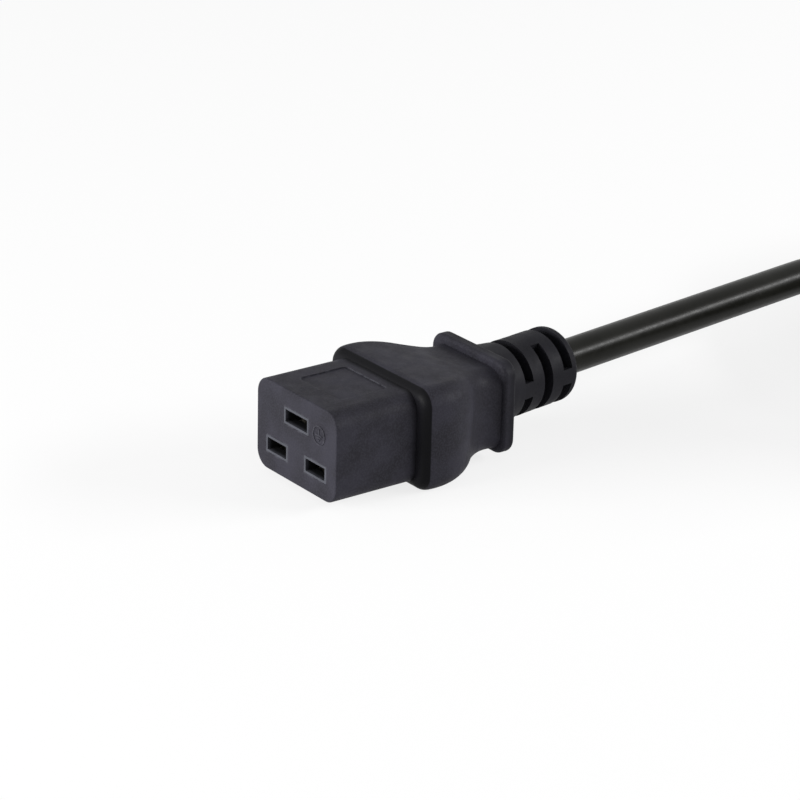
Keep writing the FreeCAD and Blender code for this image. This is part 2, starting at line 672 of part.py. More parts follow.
def plug():
    shell = plug_shell()
    boot = relief("plug_relief")
    place(boot, y="size.plug_grip_end")
    solid = combine("Fuse", "plug_moulding", shell, boot)
    seat = new_body("plug_insert_seat")
    front_block(seat, "seat", "size.recess_depth - size.fit_gap",
                "%s - size.recess_depth + 2 * size.fit_gap" % PLUG_CARRIER_BACK,
                "size.carrier_half_width + size.fit_gap", "size.carrier_half_height + size.fit_gap",
                "size.carrier_corner")
    space = inner_space("plug", PLUG_CARRIER_BACK, "size.plug_grip_end", "0", "0")
    finished.append(place(combine("Cut", "plug_body", solid, seat, *space), *PLUG_HERE))
    finished.append(place(plug_carrier(), *PLUG_HERE))
    for pole, spot in FACING.items():
        x, z, _ = POLES[spot]
        finished.append(place(pin(pole), "%s + (%s)" % (PLUG_X, x), PLUG_Y,
                              "%s + (%s)" % (PLUG_Z, z)))
    clearances = wires("plug_", FACING, PLUG_CRIMP, PLUG_CARRIER_BACK, "size.plug_grip_end",
                       "0", "0", PLUG_HERE)
    inner_mould("plug_inner_mould", PLUG_CARRIER_BACK, "size.plug_grip_end", clearances, PLUG_HERE)


# ---------------------------------------------------------------- the cord
def ring_section(body, name, kind, grow, angle):
    """Turn the section of the coil about its upright axis: add it, or cut it away."""
    sketch = front_sketch(body, name + "_section", "0", "size.tie_thick + %s" % COIL_HALF_HEIGHT)
    bind(sketch, AttachmentOffset__Base__x="size.coil_radius")
    wide, high = "(%s + %s)" % (COIL_HALF_WIDTH, grow), "(%s + %s)" % (COIL_HALF_HEIGHT, grow)
    slim, low = wide + " - size.coil_corner", high + " - size.coil_corner"
    quarter = [(wide, low), (slim, high)]
    mirror = [("-(%s)" % x, z) for x, z in reversed(quarter)]
    below = [(x, "-(%s)" % z) for x, z in reversed(quarter + mirror)]
    polygon(sketch, quarter + mirror + below)
    ring = body.newObject("PartDesign::" + kind, name)
    ring.Profile = sketch
    ring.ReferenceAxis = (origin_feature(body, "Z_Axis"), [""])
    ring.Midplane = True
    return bind(ring, Angle=angle)


def coil():
    """The put-away turns as one closed ring, and the strap that holds them."""
    turns = new_body("cord_coil")
    ring_section(turns, "ring", "Revolution", "0", "360")
    finished.append(place(turns, "size.coil_x", "size.coil_y", FLOOR))
    strap = new_body("coil_tie")
    ring_section(strap, "band", "Revolution", "size.tie_thick", "size.tie_width / size.coil_radius * 57.3")
    ring_section(strap, "inside", "Groove", "size.fit_gap", "size.tie_width / size.coil_radius * 90")
    finished.append(place(strap, "size.coil_x", "size.coil_y", FLOOR, "-90"))


def cord(name, points):
    """A plain round tube; its radii and its length by the centre line are printed."""
    edges, radii = route(points)
    finished.append(tube(name, edges, "size.cord_diameter / 2"))
    length = sum(edge.Length for edge in edges)
    print(name, "radii", [round(radius) for radius in radii], "length", round(length, 1))


def lead():
    """From the strain relief down into the coil, and from the coil's top back into the plug."""
    root, heading = on_axis(WING_BACK, "size.relief_rise", "size.relief_turn", "0")
    centre = Vector(val("size.coil_x"), val("size.coil_y"),
                    val("%s + size.tie_thick + %s" % (FLOOR, COIL_HALF_HEIGHT)))
    outermost = val("size.coil_radius + size.cord_diameter")
    layer = UP * val("size.cord_diameter / 2")
    entry = centre - Vector(outermost, val("size.coil_entry"), 0) - layer
    cord("cord", [root - heading * val("size.sheath_inside"), root + heading * val("size.cord_bend"), entry])
    low, high = centre.z + layer.z, val(PLUG_Z)
    rise = (high - low) / 3
    aside, ahead, half = val(PLUG_ASIDE), val("size.tail_ahead"), val("size.tail_half_run")
    turn = [(-outermost, ahead - half, low), (-outermost, ahead + half, low + rise),
            ((aside - outermost) / 2, ahead + 2 * half, low + 2 * rise),
            (aside, ahead + half, high), (aside, ahead - half, high)]
    cord("cord_tail", [Vector(centre.x + x, centre.y + y, z) for x, y, z in turn])


# ---------------------------------------------------------------- build, check and write
connector()
plug()
coil()
lead()
doc.recompute()
bad = [thing.Name for thing in doc.Objects if {"Invalid", "Error"} & set(thing.State)]
if bad:
    raise RuntimeError("failed objects: " + ", ".join(bad))
for piece in finished:
    if piece.Shape.isNull() or not piece.Shape.isValid():
        raise RuntimeError("bad shape: " + piece.Label)
os.makedirs("parts", exist_ok=True)
for piece in finished:
    piece.Shape.exportStep("parts/%s.step" % piece.Label)
    print(piece.Label, round(piece.Shape.Volume, 1), len(piece.Shape.Solids), piece.Shape.BoundBox)
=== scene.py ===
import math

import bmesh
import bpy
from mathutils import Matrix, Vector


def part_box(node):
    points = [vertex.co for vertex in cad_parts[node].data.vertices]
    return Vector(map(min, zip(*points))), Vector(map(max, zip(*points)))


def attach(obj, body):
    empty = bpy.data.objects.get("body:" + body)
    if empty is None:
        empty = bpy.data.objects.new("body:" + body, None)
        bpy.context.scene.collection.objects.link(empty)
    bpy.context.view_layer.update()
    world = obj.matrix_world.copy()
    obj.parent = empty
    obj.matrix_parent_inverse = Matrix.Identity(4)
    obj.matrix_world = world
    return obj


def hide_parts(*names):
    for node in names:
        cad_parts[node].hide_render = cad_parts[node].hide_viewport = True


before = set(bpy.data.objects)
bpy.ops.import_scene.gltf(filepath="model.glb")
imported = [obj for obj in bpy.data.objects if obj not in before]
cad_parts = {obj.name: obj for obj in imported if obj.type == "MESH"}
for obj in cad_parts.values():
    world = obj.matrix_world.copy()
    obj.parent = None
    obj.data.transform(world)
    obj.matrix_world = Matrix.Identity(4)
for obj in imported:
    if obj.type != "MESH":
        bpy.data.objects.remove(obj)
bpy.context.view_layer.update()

# %% [markdown]
# # A C19 power connector on its lead
#
# A C19 is the heavy connector of a mains lead in a data centre. A rigid insert with three
# brass contacts is locked into a black PVC moulding, which carries the finger grip, a flange
# and a slotted strain relief. The frame that is loaded above holds every rigid piece at its
# real size. This script adds the lead, the earth sign on the mating face and all the finishes.

MM = 0.001

# %% [markdown]
# ## Where the camera stands
#
# The view is a three-quarter one from the front right and a little above, through a long
# lens, so the block's edges stay nearly parallel. A camera is placed by two directions: the
# one it looks back along, from the object towards the lens, and the one to its right. Turning
# the camera slightly about its own axis lets the lead climb to the right edge. A Track To
# constraint could aim it but not roll it, so its matrix is built from the directions.

# %% Camera
AZIMUTH = math.radians(52.77)
ELEVATION = math.radians(21.94)
ROLL = math.radians(1.44)
CAMERA_PLACE = Vector((481.9, -340.9, 246.6)) * MM
SENSOR_WIDTH_MM, FOCAL_LENGTH_MM = 36, 147.2
NEAR_LIMIT, FAR_LIMIT = 0.01, 20
back = Vector((math.sin(AZIMUTH) * math.cos(ELEVATION),
               -math.cos(AZIMUTH) * math.cos(ELEVATION), math.sin(ELEVATION)))
level_right = Vector((math.cos(AZIMUTH), math.sin(AZIMUTH), 0))
level_up = back.cross(level_right)
right = math.cos(ROLL) * level_right + math.sin(ROLL) * level_up
up = math.cos(ROLL) * level_up - math.sin(ROLL) * level_right
camera = bpy.data.objects.new("camera", bpy.data.cameras.new("camera"))
bpy.context.scene.collection.objects.link(camera)
camera.data.sensor_width = SENSOR_WIDTH_MM
camera.data.lens = FOCAL_LENGTH_MM
camera.data.clip_start = NEAR_LIMIT
camera.data.clip_end = FAR_LIMIT
turned = Matrix((right, up, back)).transposed().to_4x4()
camera.matrix_world = Matrix.Translation(CAMERA_PLACE) @ turned
bpy.context.scene.camera = camera
print("camera at", [round(v / MM) for v in CAMERA_PLACE], "mm, lens", camera.data.lens, "mm")

# %% [markdown]
# ## The lead
#
# The sheath is one length of round PVC. A circle swept along a line would draw it, but a NURBS
# curve is easier to change: its control points are a few listed places, order 3 keeps
# the line smooth, and the bevel makes it round. The lead leaves the strain relief
# straight, comes down to the floor and is wound into a tied coil, where a loop works out the
# points. The lower strands step inwards turn by turn, the innermost one climbs to the upper
# layer, and the upper strands step outwards. The lower steps, the climb and the upper steps
# each have their own part of the ring, so that no two strands ever meet. The curve runs a
# little inside its control points, so those stand a little further out than the strand.
# The end rises over the coil in a half turn and goes into the plug, which lies on top.

# %% Points of the lead
CORD_DIAMETER = 7.6 * MM
TURN = math.radians(7.5)
HEADING = Vector((-math.sin(TURN), math.cos(TURN), 0))
ROOT = Vector((0, 45.3, 1.1)) * MM
STRAIGHT_MM = (-4.4, 45, 88, 112)     # places along the heading, from the root
UNDER_COIL = Vector((-18.6, 180, -6.3)) * MM
COIL_CENTRE = Vector((30, 190)) * MM
COIL_RADIUS = 40 * MM
LOWER, UPPER = -6.2 * MM, 1.4 * MM
OUTER, MIDDLE, INNER = COIL_RADIUS + CORD_DIAMETER, COIL_RADIUS, COIL_RADIUS - CORD_DIAMETER
# Each turn of the coil: the place it starts in, the place it ends in, and the angle in degrees
# at which it begins to change from one to the other.
STRANDS = [((OUTER, LOWER), (MIDDLE, LOWER), 280), ((MIDDLE, LOWER), (INNER, LOWER), 280),
           ((INNER, LOWER), (INNER, UPPER), 235), ((INNER, UPPER), (MIDDLE, UPPER), 185),
           ((MIDDLE, UPPER), (OUTER, UPPER), 185)]
STEP_DEGREES = 15
SHIFT_DEGREES = 60
COIL_DEGREES = 5 * 360 - 45
INSIDE = 0.75 + 0.25 * math.cos(math.radians(STEP_DEGREES))     # the curve's radius over its points'


def coil_point(travelled):
    """A control point of the coil, after so many degrees of winding."""
    before, after, begins = STRANDS[travelled // 360]
    share = min(max((travelled % 360 - begins) / SHIFT_DEGREES, 0), 1)
    share = share * share * (3 - 2 * share)
    radius = before[0] + (after[0] - before[0]) * share
    radius /= INSIDE
    angle = math.radians(180 - travelled)
    return Vector((COIL_CENTRE.x + radius * math.cos(angle),
                   COIL_CENTRE.y + radius * math.sin(angle),
                   before[1] + (after[1] - before[1]) * share))


leaving = [ROOT + HEADING * along * MM for along in STRAIGHT_MM] + [UNDER_COIL]
coiled = [coil_point(travelled)
          for travelled in range(STEP_DEGREES, COIL_DEGREES + 1, STEP_DEGREES)]
# From the coil's last upper strand, round behind the coil, and forwards into the plug.
arriving = [Vector(place) * MM for place in (
    (-11.6, 166, 4.0), (-16.6, 177.5, 5.4), (-18.1, 190, 6.2), (-17, 214, 8.0), (2, 240, 10.6),
    (42, 246.5, 14.5), (64.7, 228, 18.05), (64.7, 203, 18.05), (64.7, 174.2, 18.05))]
cord_points = leaving + coiled + arriving
print(len(cord_points), "control points, of which", len(coiled), "in the coil")

# %% [markdown]
# A curve's box grows by the radius of its control points, so the tube's real radius is given
# to the points and the bevel is left at one metre, which the radius scales down.

# %% Sheath curve
curve = bpy.data.curves.new("cord_sheath", "CURVE")
curve.dimensions = "3D"
curve.resolution_u = 8
curve.bevel_depth = 1.0
curve.bevel_resolution = 6
curve.use_fill_caps = True
spline = curve.splines.new("NURBS")
spline.points.add(len(cord_points) - 1)
for point, place in zip(spline.points, cord_points):
    point.co = (*place, 1)
    point.radius = CORD_DIAMETER / 2
spline.order_u = 3
spline.use_endpoint_u = True
sheath = bpy.data.objects.new("cord_sheath", curve)
bpy.context.scene.collection.objects.link(sheath)
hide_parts("cord", "cord_coil", "cord_tail")
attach(sheath, "root")

# %% [markdown]
# ## Finishes
#
# Nothing on this object is one flat colour. Every plastic here gets slow clouds of colour from
# the way it flowed, a gloss that differs from place to place, and a bump for the grain of its
# surface. Metals get their draw marks and smudges. All of it could be painted on an unwrapped
# mesh, but noise needs no unwrapping and shows no seam. Patterns are laid out in Object
# coordinates, which are metres here, so the scale of a texture is one over the size of its
# features. A colour is written as a hex and turned into light by one function.

# %% Colours and nodes
FACTOR, COLOUR_A, COLOUR_B, MIXED = 0, 6, 7, 2       # a Mix node's colour sockets, and its result


def linear(hex_colour):
    """Linear RGBA from an sRGB hex string such as 2b2b30."""
    channels = [int(hex_colour[i:i + 2], 16) / 255 for i in (0, 2, 4)]
    return tuple(c / 12.92 if c <= 0.04045 else ((c + 0.055) / 1.055) ** 2.4 for c in channels) + (1,)


def add_node(tree, kind, inputs=None, output=0, **settings):
    """Add a node, set its properties, and give one of its outputs. Of its inputs, a socket is
    linked and a value is set."""
    node = tree.nodes.new("ShaderNode" + kind)
    for name, value in settings.items():
        setattr(node, name, value)
    for name, value in (inputs or {}).items():
        if isinstance(value, bpy.types.NodeSocket):
            tree.links.new(value, node.inputs[name])
        else:
            node.inputs[name].default_value = value
    return node.outputs[output] if node.outputs else None


def new_material(name):
    """An empty node material, its tree, and the Object coordinates that its patterns use."""
    material = bpy.data.materials.new(name)
    material.use_nodes = True
    material.node_tree.nodes.clear()
    return material, material.node_tree, add_node(material.node_tree, "TexCoord", output="Object")


print("charcoal 2b2b30 is linear", [round(c, 4) for c in linear("2b2b30")])

# %% Patterns in millimetres
def patches(tree, place, size_mm, low=0.35, high=0.65, start=0.0, end=1.0, detail=3):
    """Soft patches, so many millimetres across. Where the noise is below low the value is start,
    above high it is end, and a smooth step lies between."""
    noise = add_node(tree, "TexNoise",
                     {"Vector": place, "Scale": 1 / (size_mm * MM), "Detail": detail})
    return add_node(tree, "MapRange", {"Value": noise, "From Min": low, "From Max": high,
                                       "To Min": start, "To Max": end},
                    interpolation_type="SMOOTHSTEP")


def past(tree, place, low, high, start=0.0, end=1.0):
    """A smooth step from start to end between two depths behind the mating face."""
    depth = add_node(tree, "SeparateXYZ", {"Vector": place}, "Y")
    return add_node(tree, "MapRange", {"Value": depth, "From Min": low, "From Max": high,
                                       "To Min": start, "To Max": end},
                    interpolation_type="SMOOTHSTEP")


def grained(tree, place, size_mm, depth_mm, detail=2, below=None):
    """A bump of noise, so many millimetres across and deep, on top of another bump."""
    height = add_node(tree, "TexNoise",
                      {"Vector": place, "Scale": 1 / (size_mm * MM), "Detail": detail})
    inputs = {"Height": height, "Distance": depth_mm * MM}
    if below:
        inputs["Normal"] = below
    return add_node(tree, "Bump", inputs)


print("a pattern of 7 mm has a scale of", round(1 / (7 * MM)))

# %% Paint and surface
def painted(tree, base, *layers):
    """A colour with others laid over it in turn, each given by its share and its hex."""
    shade = linear(base)
    for share, colour in layers:
        shade = add_node(tree, "Mix", {FACTOR: share, COLOUR_A: shade, COLOUR_B: linear(colour)},
                         MIXED, data_type="RGBA")
    return shade


def finished(tree, **sockets):
    """A principled surface with these sockets set or linked, as the material's own."""
    inputs = {name.replace("_", " "): value for name, value in sockets.items()}
    add_node(tree, "OutputMaterial", {"Surface": add_node(tree, "BsdfPrincipled", inputs)})


def dress(material, *names):
    """Give each of these CAD nodes the material."""
    for name in names:
        mesh = bpy.data.objects[name].data
        mesh.materials.clear()
        mesh.materials.append(material)


print(len(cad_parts), "nodes to dress, less the three that the lead replaces")

# %% [markdown]
# ### The black moulding
#
# Flexible PVC from a spark-eroded tool is matt and slightly cloudy. Along the joint between
# nose and grip the two halves of the tool shut on polished steel, which leaves a slightly
# smoother band there. The same band is painted darker, as painted shade of the crevice between
# nose and grip. The strain relief is a shade darker than the grip. Handling rubs the nose's
# edges a little lighter. A painted mask could say where an edge is, but a Bevel node
# finds it by itself: there its rounded normal turns away from the face's own.

# %% Moulded PVC
# Depths behind the mating face. The far plug lies behind all three, so it has the relief's shade.
NOSE_END, RIM_END, RELIEF_START = 19.3 * MM, 20.75 * MM, 42 * MM
# Matt black PVC, over-moulded: the connector's body and the far plug's. The spark-eroded grain is
# about 0.05 mm across in reality, too fine to show, so its speckle is drawn at 0.35 mm. The
# specular level is set low, because the white world would otherwise veil the black.
moulded_pvc, tree, place = new_material("moulded_pvc")
clouds = patches(tree, place, size_mm=7)
speckle = patches(tree, place, size_mm=0.35, low=0.42, high=0.62, end=0.35, detail=4)
# The band covers the last of the nose and the grip's front face. Its darkening is painted shade of
# the crevice between them, and its lower roughness is the finish.
band = add_node(tree, "Math", {0: past(tree, place, NOSE_END - 1.4 * MM, NOSE_END + 0.5 * MM),
                               1: past(tree, place, RIM_END - 0.12 * MM, RIM_END + 0.12 * MM, 1, 0)},
                operation="MULTIPLY")
painted_crevice_shade = add_node(tree, "Math", {0: band, 1: 0.97}, operation="MULTIPLY")
dark_relief = past(tree, place, RELIEF_START, RELIEF_START + 3 * MM, end=0.75)
rounded = add_node(tree, "Bevel", {"Radius": 0.5 * MM}, samples=6)
facing = add_node(tree, "NewGeometry", output="Normal")
alike = add_node(tree, "VectorMath", {0: rounded, 1: facing}, "Value", operation="DOT_PRODUCT")
on_edge = add_node(tree, "MapRange", {"Value": alike, "From Min": 0.995, "From Max": 0.93},
                   interpolation_type="SMOOTHSTEP")
on_nose = past(tree, place, NOSE_END - 0.4 * MM, NOSE_END, 0.4, 0)
touched = patches(tree, place, size_mm=1.6, low=0.4, high=0.6, detail=2)
handled = add_node(tree, "Math", {0: on_nose, 1: touched}, operation="MULTIPLY")
rubbed = add_node(tree, "Math", {0: on_edge, 1: handled}, operation="MULTIPLY")
shade = painted(tree, "242328", (clouds, "2c2b32"), (speckle, "37373e"), (painted_crevice_shade, "0a0a0c"),
                (dark_relief, "131316"), (rubbed, "4c4c52"))
dull = patches(tree, place, size_mm=2.5, low=0.3, high=0.7, start=0.5, end=0.6)
rough = add_node(tree, "Math", {0: band, 1: -0.04, 2: dull}, operation="MULTIPLY_ADD")
sunk = grained(tree, place, size_mm=9, depth_mm=0.12, detail=1)
finished(tree, Base_Color=shade, Roughness=rough, IOR=1.53, Specular_IOR_Level=0.05,
         Normal=grained(tree, place, size_mm=0.16, depth_mm=0.012, detail=3, below=sunk))
dress(moulded_pvc, "overmould", "plug_body")
print("body and far plug in", moulded_pvc.name)

# %% [markdown]
# ### The rigid inserts and the inner moulds
#
# The inserts are glass-filled nylon, a little lighter and drier than the PVC, and only the
# lips round the openings show. The glass fibres in it are far too thin to model, so noise that
# is drawn out along the flow stands for them. The inner moulds are natural polypropylene, milky
# and closed in. Their finish shows when the object is cut open or taken apart.

# %% Glass-filled nylon
# Glass-filled nylon, black: short fibres lie along the flow, towards the cord. A real fibre is
# about 0.01 mm thick, so the streaks are drawn at 0.14 mm to show. The walls of the openings
# are painted darker than their lips, as painted shade deep inside the openings.
filled_nylon, tree, place = new_material("glass_filled_nylon")
drawn_out = add_node(tree, "Mapping", {"Vector": place, "Scale": (1, 0.2, 1)})
fibres = patches(tree, drawn_out, size_mm=0.14, low=0.45, high=0.7, detail=2)
pale_fibres = add_node(tree, "Math", {0: fibres, 1: 0.4}, operation="MULTIPLY")
clouds = patches(tree, place, size_mm=3, detail=2)
# The last layer is painted shade: from 0.1 mm behind the face, the walls of the openings darken.
shade = painted(tree, "37383e", (clouds, "3f4047"), (pale_fibres, "4c4d54"),
                (past(tree, place, 0.1 * MM, 1.2 * MM), "0e0e10"))
rough = add_node(tree, "MapRange", {"Value": clouds, "To Min": 0.5, "To Max": 0.6},
                 interpolation_type="SMOOTHSTEP")
finished(tree, Base_Color=shade, Roughness=rough, IOR=1.53, Specular_IOR_Level=0.15,
         Normal=add_node(tree, "Bump", {"Height": fibres, "Distance": 0.008 * MM}))
dress(filled_nylon, "contact_carrier", "plug_carrier")
print("rigid inserts in", filled_nylon.name)

# %% Natural polypropylene
# Natural polypropylene: milky, with faint flow marks.
natural_pp, tree, place = new_material("milky_polypropylene")
drawn_out = add_node(tree, "Mapping", {"Vector": place, "Scale": (1, 0.3, 1)})
flow = patches(tree, drawn_out, size_mm=1.8, high=0.7)
rough = add_node(tree, "MapRange", {"Value": flow, "To Min": 0.38, "To Max": 0.5},
                 interpolation_type="SMOOTHSTEP")
finished(tree, Base_Color=painted(tree, "cfcabb", (flow, "e2dfd3")), Roughness=rough, IOR=1.49,
         Subsurface_Weight=0.15, Subsurface_Scale=1.5 * MM,
         Normal=add_node(tree, "Bump", {"Height": flow, "Distance": 0.02 * MM}))
dress(natural_pp, "inner_mould", "plug_inner_mould")
print("inner moulds in", natural_pp.name)

# %% [markdown]
# ### The metals
#
# The spring contacts are stamped from tinned brass strip, which stays grey and soft in gloss.
# The far plug's pins are plated and tumbled, so their draw marks run along the blade. The
# cores are bundles of fine copper wires, so their bump is a set of slanting ridges. Anisotropic
# gloss could draw such marks as well, but a fine bump keeps them when the finish is baked.

# %% Tinned brass strip
# Tinned brass strip: grey, and painted far darker than bare tin, as painted shade deep in the
# openings where the contacts sit. The marks of rolling run along it.
tinned_brass, tree, place = new_material("tinned_brass_strip")
smudge = patches(tree, place, size_mm=1.2, high=0.7, detail=4)
rolled = add_node(tree, "Mapping", {"Vector": place, "Scale": (1, 0.06, 1)})
rough = add_node(tree, "MapRange", {"Value": smudge, "To Min": 0.34, "To Max": 0.52},
                 interpolation_type="SMOOTHSTEP")
finished(tree, Base_Color=painted(tree, "6e6b64", (smudge, "8f8b82")), Metallic=1.0, Roughness=rough,
         Normal=grained(tree, rolled, size_mm=0.09, depth_mm=0.004, detail=1))
dress(tinned_brass, "line_contact", "neutral_contact", "earth_contact")
print("spring contacts in", tinned_brass.name)

# %% Plated pins
# Nickel-plated brass: bright, warm in the smudges, and duller along its draw marks.
plated_brass, tree, place = new_material("nickel_plated_brass")
smudge = patches(tree, place, size_mm=2.2, low=0.4, high=0.7)
drawn_out = add_node(tree, "Mapping", {"Vector": place, "Scale": (1, 0.04, 1)})
marks = add_node(tree, "TexNoise", {"Vector": drawn_out, "Scale": 1 / (0.12 * MM), "Detail": 2})
gloss = add_node(tree, "MapRange", {"Value": smudge, "To Min": 0.16, "To Max": 0.28},
                 interpolation_type="SMOOTHSTEP")
rough = add_node(tree, "Math", {0: marks, 1: 0.12, 2: gloss}, operation="MULTIPLY_ADD")
finished(tree, Base_Color=painted(tree, "d9d4c8", (smudge, "c3b79c")), Metallic=1.0, Roughness=rough,
         Normal=add_node(tree, "Bump", {"Height": marks, "Distance": 0.003 * MM}))
dress(plated_brass, "plug_line_pin", "plug_neutral_pin", "plug_earth_pin")
print("pins in", plated_brass.name)

# %% Stranded copper
WAVE = 1                                             # a Wave texture's output in grey
# Bare copper: twisted strands, browner in the grooves. A real strand is about 0.25 mm thick, and
# the ridges are drawn wider so that they show.
stranded_copper, tree, place = new_material("stranded_copper")
strands = add_node(tree, "TexWave",
                   {"Vector": place, "Scale": 1 / (1.8 * MM), "Distortion": 0.6}, WAVE,
                   wave_type="BANDS", bands_direction="DIAGONAL")
rough = add_node(tree, "MapRange", {"Value": strands, "To Min": 0.42, "To Max": 0.26},
                 interpolation_type="SMOOTHSTEP")
finished(tree, Base_Color=painted(tree, "8c4a2c", (strands, "d98a5e")), Metallic=1.0, Roughness=rough,
         Normal=add_node(tree, "Bump", {"Height": strands, "Distance": 0.06 * MM}))
dress(stranded_copper, *[end + pole + "_core" for end in ("", "plug_")
                         for pole in ("line", "neutral", "earth")])
print("cores in", stranded_copper.name)

# %% [markdown]
# ### Insulation, tie and sheath
#
# The cores are told apart by brown, blue and green with yellow. A Wave texture lays the yellow
# slantwise over the green, as no map of the wire's surface is there to wind it round. Extruded
# PVC is smoother than moulded PVC. The sheath is the glossiest plastic of all: it carries one
# soft line of light along its whole length, so its grain is kept very fine.

# %% Extruded PVC
def extruded(name, dark, light, pattern_mm, grain_mm, rough_low, rough_high, level):
    """Glossy PVC drawn through a die: clouds of two shades over a very fine grain."""
    material, tree, place = new_material(name)
    clouds = patches(tree, place, size_mm=pattern_mm)
    rough = patches(tree, place, size_mm=1.5, low=0.3, high=0.7, start=rough_low, end=rough_high)
    wander = grained(tree, place, size_mm=11, depth_mm=0.1, detail=1)
    finished(tree, Base_Color=painted(tree, dark, (clouds, light)), Roughness=rough, IOR=1.53,
             Specular_IOR_Level=level,
             Normal=grained(tree, place, size_mm=grain_mm, depth_mm=0.004, below=wander))
    return material


# Brown and blue core insulation, extruded PVC.
INSULATION = dict(pattern_mm=2.0, grain_mm=0.2, rough_low=0.3, rough_high=0.4, level=0.5)
dress(extruded("brown_insulation_pvc", "4a2616", "5c3320", **INSULATION),
      "line_insulation", "plug_line_insulation")
dress(extruded("blue_insulation_pvc", "1c4a8f", "2a5ea8", **INSULATION),
      "neutral_insulation", "plug_neutral_insulation")
print("brown and blue insulation with a grain of", INSULATION["grain_mm"], "mm")

# %% Striped insulation
# Green core insulation with a yellow stripe, extruded PVC.
striped, tree, place = new_material("green_yellow_insulation_pvc")
stripe = add_node(tree, "TexWave", {"Vector": place, "Scale": 1 / (14 * MM), "Distortion": 0.4}, WAVE,
                  wave_type="BANDS", bands_direction="DIAGONAL")
yellow = add_node(tree, "MapRange", {"Value": stripe, "From Min": 0.55, "From Max": 0.62},
                  interpolation_type="SMOOTHSTEP")
clouds = patches(tree, place, size_mm=2)
rough = add_node(tree, "MapRange", {"Value": clouds, "To Min": 0.3, "To Max": 0.4},
                 interpolation_type="SMOOTHSTEP")
finished(tree, Base_Color=painted(tree, "1f6b34", (clouds, "2b7d40"), (yellow, "d8c22a")),
         Roughness=rough, IOR=1.53, Normal=grained(tree, place, size_mm=0.2, depth_mm=0.004))
dress(striped, "earth_insulation", "plug_earth_insulation")
print("earth cores in", striped.name)

# %% Strap and sheath
# Soft PVC strap round the coil: fine ribs, a millimetre apart, run along it.
strap, tree, place = new_material("ribbed_pvc_strap")
ribs = add_node(tree, "TexWave", {"Vector": place, "Scale": 1 / (3.2 * MM), "Distortion": 0.1}, WAVE,
                wave_type="BANDS", bands_direction="X")
worn = patches(tree, place, size_mm=1.4, low=0.4, high=0.7)
rough = add_node(tree, "MapRange", {"Value": worn, "To Min": 0.35, "To Max": 0.5},
                 interpolation_type="SMOOTHSTEP")
finished(tree, Base_Color=painted(tree, "1b1b1e", (worn, "252528")), Roughness=rough, IOR=1.53,
         Specular_IOR_Level=0.1,
         Normal=add_node(tree, "Bump", {"Height": ribs, "Distance": 0.08 * MM}))
dress(strap, "coil_tie")

# Olive-black sheath of the lead.
sheath_pvc = extruded("olive_black_sheath_pvc", "131310", "191916", pattern_mm=14, grain_mm=0.25,
                      rough_low=0.28, rough_high=0.34, level=0.07)
curve.materials.append(sheath_pvc)
print("coil tie in", strap.name, "and lead in", sheath_pvc.name)

# %% [markdown]
# ## The earth sign
#
# The one sign on the mating face is the general earth sign, a stem over three shrinking bars
# inside a ring, raised by 0.15 mm because it was cut into the tool. It could be a bump in the
# material, but only a real edge catches the light from every side. A full spin of a small
# square makes the ring, four blocks make the strokes, and a bevel rounds the front edges.

# %% Earth sign
SIGN_CENTRE = Vector((7.7, 0, 3.6)) * MM
SIGN_RADIUS, LINE_WIDTH, SIGN_HEIGHT = 1.9 * MM, 0.3 * MM, 0.15 * MM
ROOTED = 0.02 * MM                                   # how far the sign reaches into the face
EDGE_ROUNDING, SHARP_RADIANS = 0.05 * MM, 1
# The stem and the three bars: height of the middle over the sign's centre, width and height.
STROKES = ((0.62 * MM, LINE_WIDTH, 1.25 * MM), (0, 2.2 * MM, LINE_WIDTH),
           (-0.5 * MM, 1.4 * MM, LINE_WIDTH), (-1.0 * MM, 0.6 * MM, LINE_WIDTH))
sign_mesh = bmesh.new()
corners = [sign_mesh.verts.new(SIGN_CENTRE + Vector((SIGN_RADIUS + across, along, 0)))
           for across, along in ((-LINE_WIDTH / 2, ROOTED), (LINE_WIDTH / 2, ROOTED),
                                 (LINE_WIDTH / 2, -SIGN_HEIGHT), (-LINE_WIDTH / 2, -SIGN_HEIGHT))]
profile = [sign_mesh.edges.new((corners[i], corners[(i + 1) % 4])) for i in range(4)]
bmesh.ops.spin(sign_mesh, geom=corners + profile, cent=SIGN_CENTRE, axis=(0, 1, 0), dvec=(0, 0, 0),
               angle=2 * math.pi, steps=48, use_merge=True)
for level, width, height in STROKES:
    middle = SIGN_CENTRE + Vector((0, (ROOTED - SIGN_HEIGHT) / 2, level))
    bmesh.ops.create_cube(sign_mesh, size=1, matrix=Matrix.Translation(middle)
                          @ Matrix.Diagonal((width, SIGN_HEIGHT + ROOTED, height, 1)))
# The front edges lie in the last tenth of the height, between two faces that meet sharply.
front_edges = [edge for edge in sign_mesh.edges
               if all(corner.co.y < -0.9 * SIGN_HEIGHT for corner in edge.verts)
               and edge.calc_face_angle(0) > SHARP_RADIANS]
bmesh.ops.bevel(sign_mesh, geom=front_edges, offset=EDGE_ROUNDING, offset_type="OFFSET", segments=2,
                profile=0.5, affect="EDGES", material=-1)
bmesh.ops.recalc_face_normals(sign_mesh, faces=sign_mesh.faces)
sign = bpy.data.objects.new("earth_sign", bpy.data.meshes.new("earth_sign"))
sign_mesh.to_mesh(sign.data)
sign_mesh.free()
bpy.context.scene.collection.objects.link(sign)
sign.data.materials.append(moulded_pvc)
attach(sign, "root")
print("earth sign with", len(sign.data.polygons), "faces")

# %% [markdown]
# ## Room and light
#
# The object lies on a plain pale floor in a white room. Stronger lamps could make the room
# white, but they would wash out the black plastic. Instead the Light Path node makes the floor
# mostly white where the camera or a reflection sees it, and the rest of it still takes the
# soft shadow under the connector. The world does the same, and gives less light than it shows.
# A large soft lamp in front, a little to the left and low, lights the mating face. A long strip
# behind on the right gives the line of light along the sheath and the nose's upper edge.

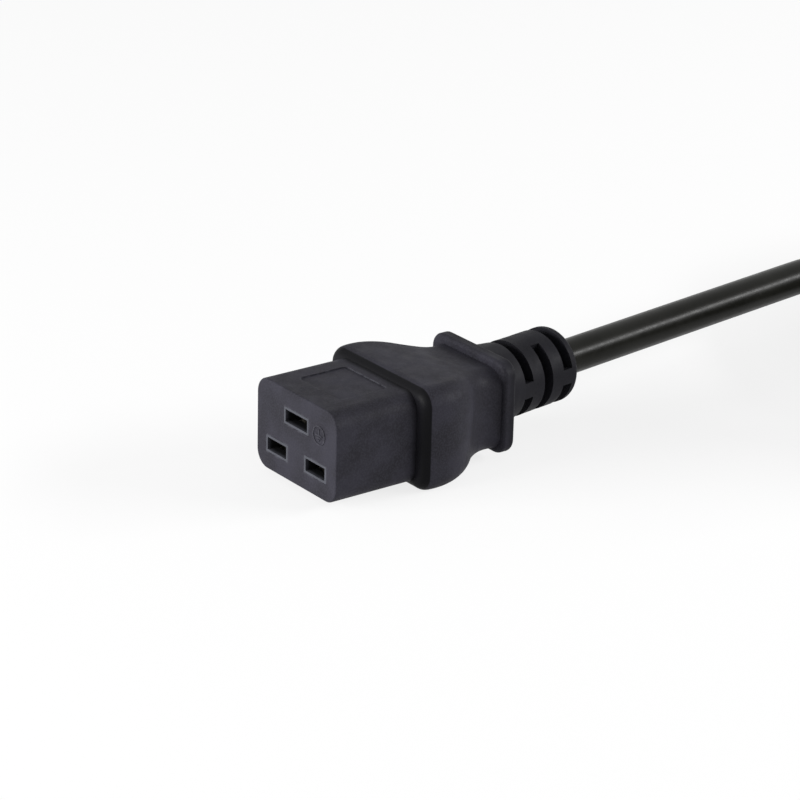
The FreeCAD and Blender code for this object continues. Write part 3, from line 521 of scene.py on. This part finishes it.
# %% Floor
FLOOR_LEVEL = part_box("overmould")[0][2]
FLOOR_MIDDLE, HALF_SIDE, FLOOR_GAP = (-0.05, 0.1), 0.5, 0.02 * MM
WHITE_SHARE = 0.8
floor_mesh = bmesh.new()
bmesh.ops.create_grid(floor_mesh, x_segments=1, y_segments=1, size=HALF_SIDE,
                      matrix=Matrix.Translation((*FLOOR_MIDDLE, FLOOR_LEVEL - FLOOR_GAP)))
floor = bpy.data.objects.new("floor", bpy.data.meshes.new("floor"))
floor_mesh.to_mesh(floor.data)
floor_mesh.free()
bpy.context.scene.collection.objects.link(floor)
# White backdrop paper.
paper = bpy.data.materials.new("white_backdrop_paper")
paper.use_nodes = True
tree = paper.node_tree
tree.nodes.clear()
matt = add_node(tree, "BsdfDiffuse", {"Color": linear("f4f4f4")})
white = add_node(tree, "Emission", {"Color": (1, 1, 1, 1), "Strength": 1.0})
seen = add_node(tree, "Math", {0: add_node(tree, "LightPath", output="Is Camera Ray"),
                               1: add_node(tree, "LightPath", output="Is Glossy Ray")},
                operation="MAXIMUM")
whitened = add_node(tree, "Math", {0: seen, 1: WHITE_SHARE}, operation="MULTIPLY")
mixed = add_node(tree, "MixShader", {0: whitened, 1: matt, 2: white})
add_node(tree, "OutputMaterial", {"Surface": mixed})
floor.data.materials.append(paper)
print("floor at", round(FLOOR_LEVEL / MM, 2), "mm")

# %% World
LIGHT_STRENGTH, SEEN_STRENGTH = 0.42, 1.0
world = bpy.data.worlds.new("studio")
bpy.context.scene.world = world
world.use_nodes = True
tree = world.node_tree
tree.nodes.clear()
seen = add_node(tree, "LightPath", output="Is Camera Ray")
for ray in ("Is Glossy Ray", "Is Transmission Ray"):
    seen = add_node(tree, "Math", {0: seen, 1: add_node(tree, "LightPath", output=ray)},
                    operation="MAXIMUM")
strength = add_node(tree, "MapRange", {"Value": seen, "To Min": LIGHT_STRENGTH,
                                       "To Max": SEEN_STRENGTH})
sky = add_node(tree, "Background", {"Color": (1, 1, 1, 1), "Strength": strength})
add_node(tree, "OutputWorld", {"Surface": sky})
print("the world is seen at", SEEN_STRENGTH, "and lights at", LIGHT_STRENGTH)

# %% Lamps
LAMP_TARGET = Vector((0, 0.05, 0))


def soft_lamp(name, place, power, wide, high):
    """An oblong area lamp that faces the connector. Its power is in watts, its sides in metres."""
    lamp = bpy.data.lights.new(name, "AREA")
    lamp.shape = "RECTANGLE"
    lamp.energy = power
    lamp.size = wide
    lamp.size_y = high
    holder = bpy.data.objects.new(name, lamp)
    holder.location = place
    holder.rotation_mode = "QUATERNION"
    holder.rotation_quaternion = (Vector(place) - LAMP_TARGET).to_track_quat("Z", "Y")
    bpy.context.scene.collection.objects.link(holder)


soft_lamp("key_softbox", (-0.2, -0.92, 0.2), power=16, wide=0.6, high=0.4)
soft_lamp("strip_softbox", (0.52, 0.74, 0.36), power=8, wide=0.6, high=0.1)
bpy.context.scene.view_settings.view_transform = "Standard"
print("two softboxes face", [round(v / MM) for v in LAMP_TARGET], "mm")
